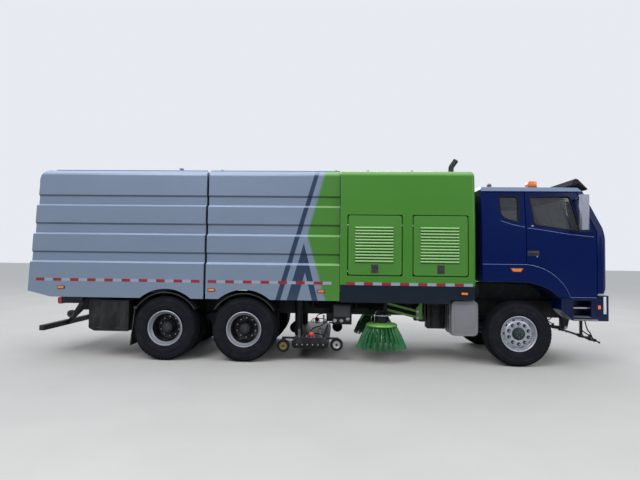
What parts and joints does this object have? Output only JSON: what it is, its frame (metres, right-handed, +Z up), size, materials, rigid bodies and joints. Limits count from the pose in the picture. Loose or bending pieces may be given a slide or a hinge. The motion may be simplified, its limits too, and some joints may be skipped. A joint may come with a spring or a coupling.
{
  "type": "street sweeper truck",
  "caption": "Six-wheel cab-over road sweeper with a ribbed refuse hopper, water tank, louvred engine compartment, side brushes and a suction nozzle.",
  "frame": {"origin": "on the road under the middle of the vehicle's overall length and width", "axes": "+X forward along the length, +Y to the driver's left, +Z up"},
  "size_m": [9.8828, 2.85, 3.6223],
  "materials": {
    "silver_paint": "satin silver-grey paint",
    "green_paint": "gloss lime green paint",
    "navy_paint": "gloss navy paint",
    "skirt_paint": "dark navy paint",
    "chassis_black": "semi-gloss black chassis paint",
    "cast_dark": "painted casting",
    "tyre_rubber": "matt tyre rubber",
    "rim_silver": "silver wheel paint",
    "tank_alloy": "brushed alloy",
    "black_plastic": "grained black plastic",
    "glass": "tinted glazing",
    "seat_fabric": "woven seat cover",
    "amber_lens": "amber lens",
    "mirror_shell": "pale silver plastic",
    "brush_green": "green paint",
    "bristle": "green bristles",
    "galvanised": "bare steel",
    "rubber": "matt black rubber"
  },
  "bodies": {
    "root": {"chassis_frame": "chassis_black", "gear_mounts": "chassis_black", "axles": "cast_dark", "leaf_springs": "cast_dark", "engine_blocks": "cast_dark", "fuel_tank": "tank_alloy", "air_tanks": "chassis_black", "front_bumper": "navy_paint", "mudguards": "black_plastic", "rear_bars": "chassis_black", "tool_box": "chassis_black", "water_tank": "silver_paint", "machine_compartment": "green_paint", "exhaust_stack": "cast_dark"},
    "tie_rod": {"tie_rod": "cast_dark"},
    "cab": {"cab_shell": "navy_paint", "cab_glass": "glass", "seats": "seat_fabric", "dashboard": "black_plastic", "sun_visor": "black_plastic", "light_bar": "amber_lens"},
    "hopper": {"hopper": "silver_paint"},
    "tail_door": {"tail_door": "silver_paint"},
    "nozzle": {"suction_nozzle": "chassis_black"},
    "nozzle_wheels_rear": {"nozzle_wheels_rear": "rubber"},
    "nozzle_wheels_front": {"nozzle_wheels_front": "rubber"},
    "steer_right": {"knuckle_right": "cast_dark"},
    "front_wheel_right": {"tyre_front_right": "tyre_rubber", "wheel_front_right": "rim_silver"},
    "mid_wheels_right": {"tyres_mid_right": "tyre_rubber", "wheels_mid_right": "rim_silver"},
    "rear_wheels_right": {"tyres_rear_right": "tyre_rubber", "wheels_rear_right": "rim_silver"},
    "cab_door_right": {"cab_door_right": "navy_paint", "door_glass_right": "glass", "mirror_right": "mirror_shell"},
    "access_door_rear_right": {"access_door_rear_right": "green_paint"},
    "access_door_front_right": {"access_door_front_right": "green_paint"},
    "brush_post_right": {"brush_post_right": "brush_green"},
    "brush_lower_arm_right": {"brush_lower_arm_right": "brush_green"},
    "brush_upper_arm_right": {"brush_upper_arm_right": "brush_green"},
    "brush_head_right": {"brush_head_right": "chassis_black"},
    "side_brush_right": {"side_brush_right": "bristle"},
    "steer_left": {"knuckle_left": "cast_dark"},
    "front_wheel_left": {"tyre_front_left": "tyre_rubber", "wheel_front_left": "rim_silver"},
    "mid_wheels_left": {"tyres_mid_left": "tyre_rubber", "wheels_mid_left": "rim_silver"},
    "rear_wheels_left": {"tyres_rear_left": "tyre_rubber", "wheels_rear_left": "rim_silver"},
    "cab_door_left": {"cab_door_left": "navy_paint", "door_glass_left": "glass", "mirror_left": "mirror_shell"},
    "access_door_rear_left": {"access_door_rear_left": "green_paint"},
    "access_door_front_left": {"access_door_front_left": "green_paint"},
    "brush_post_left": {"brush_post_left": "brush_green"},
    "brush_lower_arm_left": {"brush_lower_arm_left": "brush_green"},
    "brush_upper_arm_left": {"brush_upper_arm_left": "brush_green"},
    "brush_head_left": {"brush_head_left": "chassis_black"},
    "side_brush_left": {"side_brush_left": "bristle"}
  },
  "joints": [
    {"name": "steer_left", "type": "hinge", "parent": "root", "child": "steer_left", "pos_m": [3.42, 0.9, 0.5425], "axis": [0, 0, 1], "range_deg": [-36, 36]},
    {"name": "steer_right", "type": "hinge", "parent": "root", "child": "steer_right", "pos_m": [3.42, -0.9, 0.5425], "axis": [0, 0, 1], "range_deg": [-36, 36]},
    {"name": "tie_rod_swing", "type": "hinge", "parent": "steer_left", "child": "tie_rod", "pos_m": [3.25, 0.9, 0.508], "axis": [0, 0, 1], "range_deg": [-36, 36]},
    {"name": "cab_tilt", "type": "hinge", "parent": "root", "child": "cab", "pos_m": [4.77, 0, 1.25], "axis": [0, 1, 0], "range_deg": [0, 45]},
    {"name": "hopper_tilt", "type": "hinge", "parent": "root", "child": "hopper", "pos_m": [-4.43, 0, 0.985], "axis": [0, -1, 0], "range_deg": [0, 45]},
    {"name": "tail_door_lift", "type": "hinge", "parent": "hopper", "child": "tail_door", "pos_m": [-4.682, 0, 3.245], "axis": [0, 1, 0], "range_deg": [0, 80]},
    {"name": "nozzle_lift", "type": "slide", "parent": "root", "child": "nozzle", "axis": [0, 0, 1], "range_m": [-0.145, 0]},
    {"name": "nozzle_wheels_rear_roll", "type": "hinge", "parent": "nozzle", "child": "nozzle_wheels_rear", "pos_m": [-0.522, 0, 0.261], "axis": [0, 1, 0], "continuous": true},
    {"name": "nozzle_wheels_front_roll", "type": "hinge", "parent": "nozzle", "child": "nozzle_wheels_front", "pos_m": [0.389, 0, 0.296], "axis": [0, 1, 0], "continuous": true},
    {"name": "front_wheel_right_roll", "type": "hinge", "parent": "steer_right", "child": "front_wheel_right", "pos_m": [3.42, -1.011, 0.5425], "axis": [0, 1, 0], "continuous": true},
    {"name": "mid_wheels_right_roll", "type": "hinge", "parent": "root", "child": "mid_wheels_right", "pos_m": [-1.18, -1.092, 0.5425], "axis": [0, 1, 0], "continuous": true},
    {"name": "rear_wheels_right_roll", "type": "hinge", "parent": "root", "child": "rear_wheels_right", "pos_m": [-2.53, -1.092, 0.5425], "axis": [0, 1, 0], "continuous": true},
    {"name": "cab_door_right_swing", "type": "hinge", "parent": "cab", "child": "cab_door_right", "pos_m": [4.628, -1.233, 1.9], "axis": [0, 0, 1], "range_deg": [0, 70]},
    {"name": "access_door_rear_right_lift", "type": "hinge", "parent": "root", "child": "access_door_rear_right", "pos_m": [1.015, -1.21, 2.48], "axis": [-1, 0, 0], "range_deg": [0, 90]},
    {"name": "access_door_front_right_lift", "type": "hinge", "parent": "root", "child": "access_door_front_right", "pos_m": [2.104, -1.21, 2.48], "axis": [-1, 0, 0], "range_deg": [0, 90]},
    {"name": "brush_right_swing", "type": "hinge", "parent": "root", "child": "brush_post_right", "pos_m": [1.862, -0.76, 0.86], "axis": [0, 0, 1], "range_deg": [0, 30]},
    {"name": "brush_right_lift", "type": "hinge", "parent": "brush_post_right", "child": "brush_lower_arm_right", "pos_m": [1.8, -0.76, 0.74], "axis": [0, 1, 0], "range_deg": [-20, 0]},
    {"name": "brush_right_upper_arm", "type": "hinge", "parent": "brush_post_right", "child": "brush_upper_arm_right", "pos_m": [1.8, -0.76, 0.85], "axis": [0, 1, 0], "range_deg": [-20, 0]},
    {"name": "brush_right_head_level", "type": "hinge", "parent": "brush_lower_arm_right", "child": "brush_head_right", "pos_m": [1.24499, -0.76, 0.87838], "axis": [0, 1, 0], "range_deg": [0, 20]},
    {"name": "side_brush_right_spin", "type": "hinge", "parent": "brush_head_right", "child": "side_brush_right", "pos_m": [1.17, -0.83, 0.6], "axis": [0, 0, 1], "continuous": true},
    {"name": "front_wheel_left_roll", "type": "hinge", "parent": "steer_left", "child": "front_wheel_left", "pos_m": [3.42, 1.011, 0.5425], "axis": [0, 1, 0], "continuous": true},
    {"name": "mid_wheels_left_roll", "type": "hinge", "parent": "root", "child": "mid_wheels_left", "pos_m": [-1.18, 1.092, 0.5425], "axis": [0, 1, 0], "continuous": true},
    {"name": "rear_wheels_left_roll", "type": "hinge", "parent": "root", "child": "rear_wheels_left", "pos_m": [-2.53, 1.092, 0.5425], "axis": [0, 1, 0], "continuous": true},
    {"name": "cab_door_left_swing", "type": "hinge", "parent": "cab", "child": "cab_door_left", "pos_m": [4.628, 1.233, 1.9], "axis": [0, 0, -1], "range_deg": [0, 70]},
    {"name": "access_door_rear_left_lift", "type": "hinge", "parent": "root", "child": "access_door_rear_left", "pos_m": [1.015, 1.21, 2.48], "axis": [1, 0, 0], "range_deg": [0, 90]},
    {"name": "access_door_front_left_lift", "type": "hinge", "parent": "root", "child": "access_door_front_left", "pos_m": [2.104, 1.21, 2.48], "axis": [1, 0, 0], "range_deg": [0, 90]},
    {"name": "brush_left_swing", "type": "hinge", "parent": "root", "child": "brush_post_left", "pos_m": [1.862, 0.76, 0.86], "axis": [0, 0, -1], "range_deg": [0, 30]},
    {"name": "brush_left_lift", "type": "hinge", "parent": "brush_post_left", "child": "brush_lower_arm_left", "pos_m": [1.8, 0.76, 0.74], "axis": [0, 1, 0], "range_deg": [-20, 0]},
    {"name": "brush_left_upper_arm", "type": "hinge", "parent": "brush_post_left", "child": "brush_upper_arm_left", "pos_m": [1.8, 0.76, 0.85], "axis": [0, 1, 0], "range_deg": [-20, 0]},
    {"name": "brush_left_head_level", "type": "hinge", "parent": "brush_lower_arm_left", "child": "brush_head_left", "pos_m": [1.24499, 0.76, 0.87838], "axis": [0, 1, 0], "range_deg": [0, 20]},
    {"name": "side_brush_left_spin", "type": "hinge", "parent": "brush_head_left", "child": "side_brush_left", "pos_m": [1.17, 0.83, 0.6], "axis": [0, 0, 1], "continuous": true}
  ],
  "couplings": [
    {"joint": "steer_right", "follows": "steer_left", "ratio": 1},
    {"joint": "tie_rod_swing", "follows": "steer_left", "ratio": -1},
    {"joint": "brush_right_upper_arm", "follows": "brush_right_lift", "ratio": 1},
    {"joint": "brush_right_head_level", "follows": "brush_right_lift", "ratio": -1},
    {"joint": "brush_left_upper_arm", "follows": "brush_left_lift", "ratio": 1},
    {"joint": "brush_left_head_level", "follows": "brush_left_lift", "ratio": -1}
  ]
}
